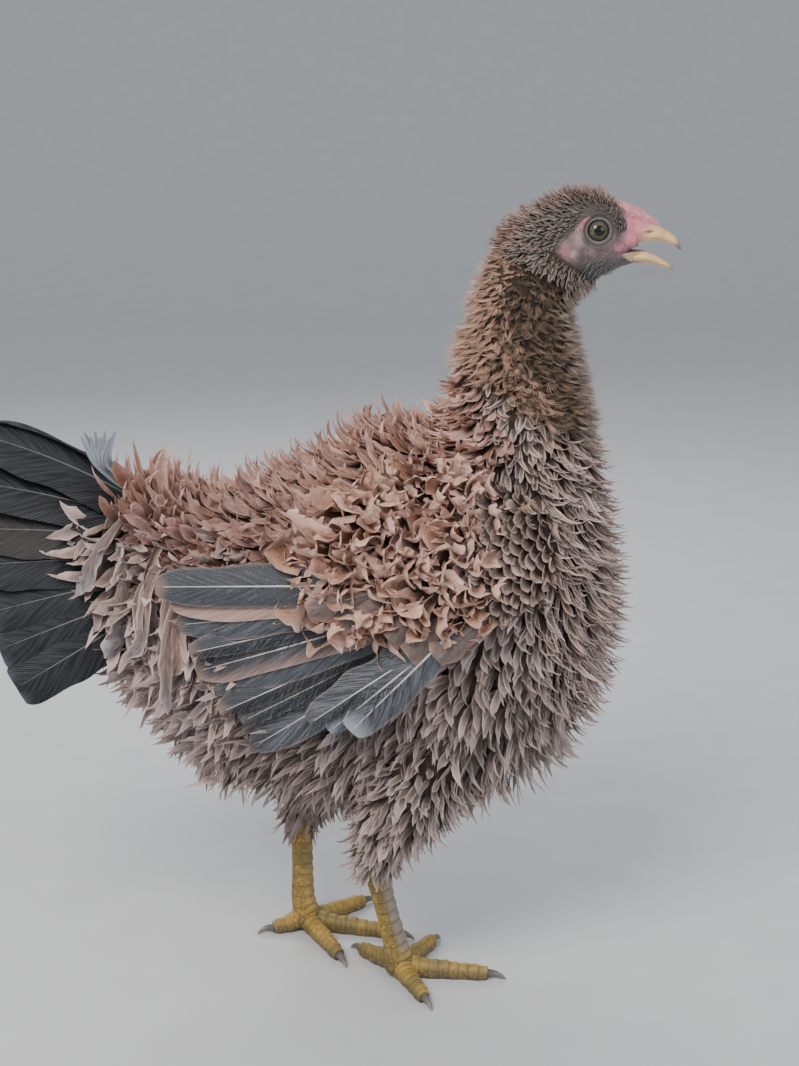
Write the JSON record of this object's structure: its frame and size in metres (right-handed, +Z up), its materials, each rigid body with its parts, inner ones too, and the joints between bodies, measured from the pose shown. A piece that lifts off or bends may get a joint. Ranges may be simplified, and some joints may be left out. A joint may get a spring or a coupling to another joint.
{
  "type": "frizzle chicken",
  "caption": "Life-size young frizzle chicken standing with its head up and its bill open, with curled body feathers, folded wings and a short tail.",
  "frame": {"origin": "on the floor under the middle of the bird's bounding box", "axes": "+X the way the bird faces, +Y towards its left side, +Z up"},
  "size_m": [0.3066, 0.1634, 0.35],
  "materials": {
    "body_plumage": "soft dusty brown feathers with paler curled tips",
    "neck_plumage": "soft brown feathers, salmon along the nape",
    "tail_feathers": "dark slate vanes under salmon coverts",
    "wing_feathers": "salmon coverts over slate flight feathers",
    "face_skin": "matte pink and grey skin",
    "comb_skin": "matte pebbled pink skin",
    "bill_horn": "satin yellow horn",
    "eye": "wet and glossy",
    "leg_scales": "satin yellow scales",
    "claw": "satin grey horn"
  },
  "bodies": {
    "root": {"torso": "body_plumage", "neck": "neck_plumage", "tail": "tail_feathers", "wing_right": "wing_feathers", "wing_left": "wing_feathers", "thigh_right": "body_plumage", "thigh_left": "body_plumage", "head": "face_skin", "comb": "comb_skin", "bill_upper": "bill_horn", "bill_lower": "bill_horn", "eye_right": "eye", "eye_left": "eye", "shank_right": "leg_scales", "shank_left": "leg_scales", "foot_right": "leg_scales", "foot_left": "leg_scales", "claw_right_middle": "claw", "claw_right_outer": "claw", "claw_right_inner": "claw", "claw_right_hind": "claw", "claw_left_middle": "claw", "claw_left_outer": "claw", "claw_left_inner": "claw", "claw_left_hind": "claw"}
  },
  "joints": []
}
